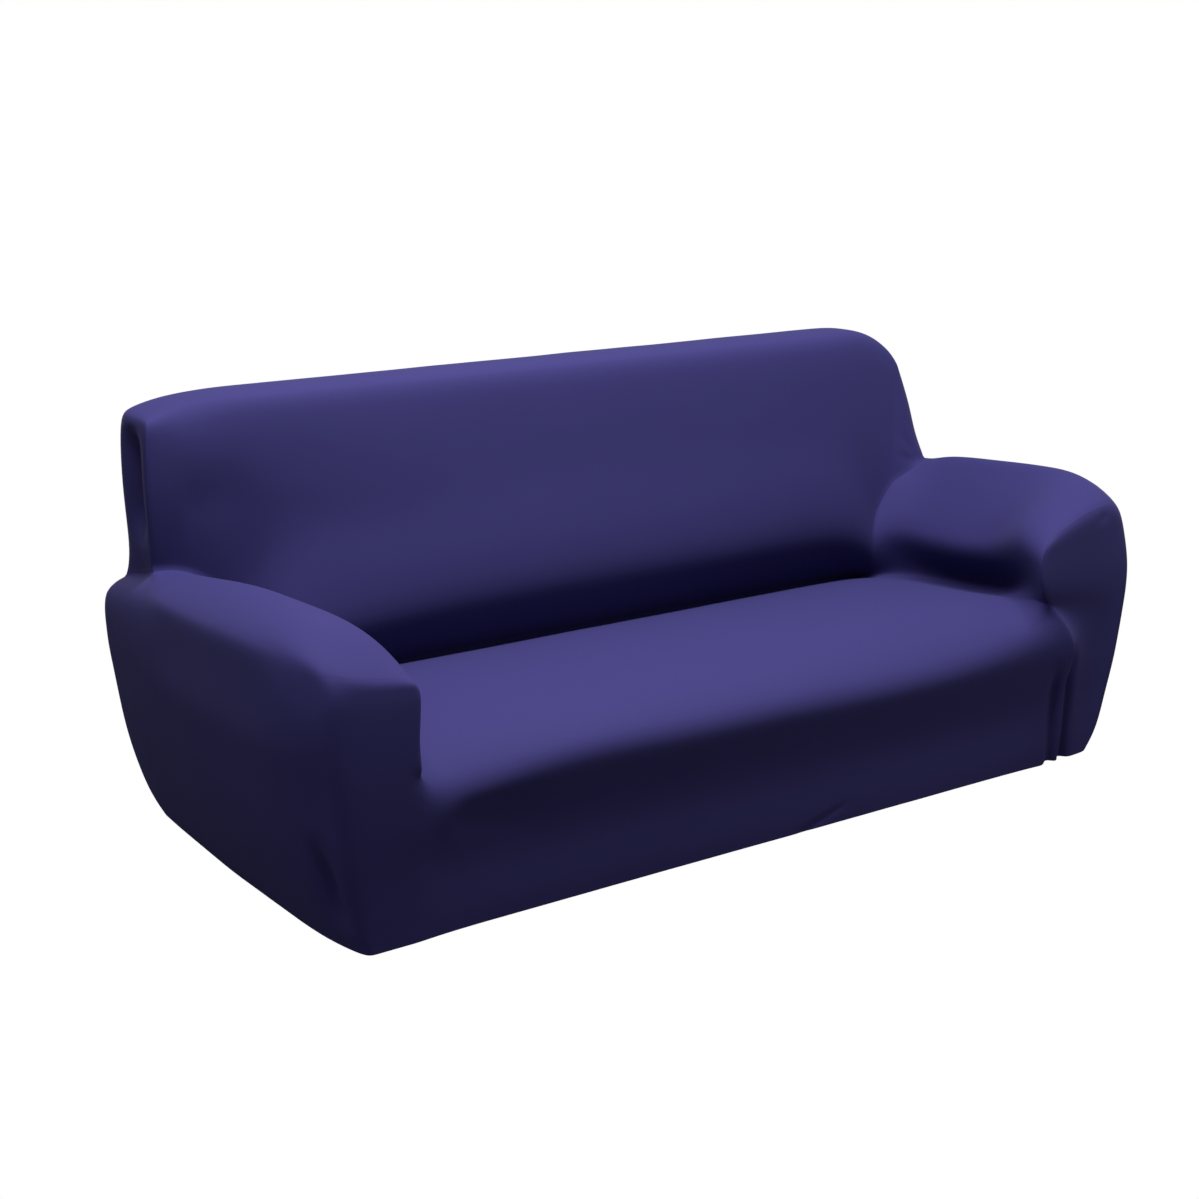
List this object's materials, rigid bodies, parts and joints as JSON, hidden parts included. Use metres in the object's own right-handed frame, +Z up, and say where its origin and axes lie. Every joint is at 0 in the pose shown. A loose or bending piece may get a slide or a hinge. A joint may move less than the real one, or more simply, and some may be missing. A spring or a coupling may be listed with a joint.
{
  "type": "sofa slipcover",
  "caption": "Plain stretch-knit slipcover in the shape it takes on a sofa: seat with front skirt, inside and outside back, boxed back ends, wrapped arms and arm fronts, open underneath.",
  "frame": {"origin": "under the middle of the top roll of the back, on the inner side of the cloth, where the sofa's back holds the cover up", "axes": "+X along the sofa's length to the right of someone facing it, -Y towards the front, +Z up"},
  "size_m": [2.0152, 0.8447, 0.852],
  "materials": {
    "seat_and_front_knit": "fine matt jersey knit with a faint sheen",
    "inside_back_knit": "fine matt jersey knit with a faint sheen",
    "outside_back_knit": "fine matt jersey knit with a faint sheen",
    "back_end_left_knit": "fine matt jersey knit with a faint sheen",
    "back_end_right_knit": "fine matt jersey knit with a faint sheen",
    "arm_wrap_left_knit": "fine matt jersey knit with a faint sheen",
    "arm_wrap_right_knit": "fine matt jersey knit with a faint sheen",
    "arm_front_left_knit": "fine matt jersey knit with a faint sheen",
    "arm_front_right_knit": "fine matt jersey knit with a faint sheen"
  },
  "bodies": {
    "root": {"seat_and_front": "seat_and_front_knit", "inside_back": "inside_back_knit", "outside_back": "outside_back_knit", "back_end_left": "back_end_left_knit", "back_end_right": "back_end_right_knit", "arm_wrap_left": "arm_wrap_left_knit", "arm_wrap_right": "arm_wrap_right_knit", "arm_front_left": "arm_front_left_knit", "arm_front_right": "arm_front_right_knit"}
  },
  "joints": []
}
